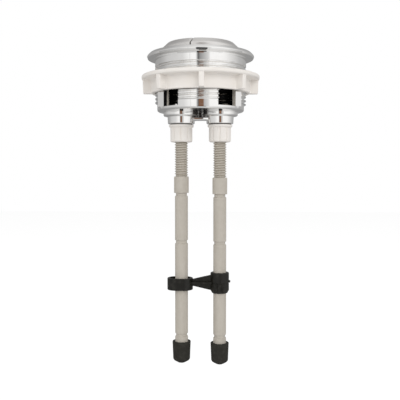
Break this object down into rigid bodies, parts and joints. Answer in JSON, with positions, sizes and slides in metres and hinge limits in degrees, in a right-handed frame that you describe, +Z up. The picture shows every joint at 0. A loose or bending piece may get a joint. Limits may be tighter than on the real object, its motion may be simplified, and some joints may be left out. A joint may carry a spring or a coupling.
{
  "type": "dual flush push button actuator",
  "caption": "Dual flush cistern push button with domed split buttons, threaded barrel, ribbed lock nut and two adjustable push rods.",
  "frame": {"origin": "on the barrel's axis, in the plane of the bezel's underside that sits on the cistern lid", "axes": "+Z up out of the lid along the barrel, +X from the half flush rod towards the full flush rod, -Y to the front"},
  "size_m": [0.0752, 0.0752, 0.2073],
  "materials": {
    "chromed_plastic": "mirror",
    "satin_chrome": "satin",
    "spring_steel": "drawn wire",
    "white_plastic": "moulded, slight gloss",
    "grey_plastic": "moulded, matte",
    "black_plastic": "moulded, matte",
    "clip_plastic": "moulded, slight gloss",
    "black_rubber": "matte"
  },
  "bodies": {
    "barrel": {"housing": "chromed_plastic", "guide_base": "chromed_plastic", "half_guide_bush": "black_plastic", "full_guide_bush": "black_plastic", "half_return_spring": "spring_steel", "full_return_spring": "spring_steel"},
    "half_button": {"half_button": "satin_chrome", "half_plunger": "black_plastic"},
    "full_button": {"full_button": "satin_chrome", "full_plunger": "black_plastic"},
    "half_rod": {"half_rod": "grey_plastic", "half_rod_tip": "black_rubber"},
    "full_rod": {"full_rod": "grey_plastic", "full_rod_tip": "black_rubber", "rod_clip": "clip_plastic"},
    "half_rod_lock": {"half_rod_nut": "white_plastic"},
    "full_rod_lock": {"full_rod_nut": "white_plastic"},
    "lock_nut": {"lock_nut": "white_plastic"}
  },
  "joints": [
    {"name": "half_button_press", "type": "slide", "parent": "barrel", "child": "half_button", "axis": [0, 0, 1], "range_m": [-0.008, 0], "stiffness_N_per_m": 500, "springref_m": 0.004, "deforming": ["half_return_spring"]},
    {"name": "full_button_press", "type": "slide", "parent": "barrel", "child": "full_button", "axis": [0, 0, 1], "range_m": [-0.008, 0], "stiffness_N_per_m": 500, "springref_m": 0.004, "deforming": ["full_return_spring"]},
    {"name": "half_rod_adjust", "type": "slide", "parent": "half_button", "child": "half_rod", "axis": [0, 0, 1], "range_m": [-0.01, 0.012]},
    {"name": "full_rod_adjust", "type": "slide", "parent": "full_button", "child": "full_rod", "axis": [0, 0, 1], "range_m": [-0.01, 0.012]},
    {"name": "half_rod_nut_travel", "type": "slide", "parent": "half_button", "child": "half_rod_lock", "axis": [0, 0, 1], "range_m": [-0.01, 0]},
    {"name": "full_rod_nut_travel", "type": "slide", "parent": "full_button", "child": "full_rod_lock", "axis": [0, 0, 1], "range_m": [-0.01, 0]},
    {"name": "lock_nut_travel", "type": "slide", "parent": "barrel", "child": "lock_nut", "axis": [0, 0, 1], "range_m": [-0.012, 0.0076]}
  ]
}
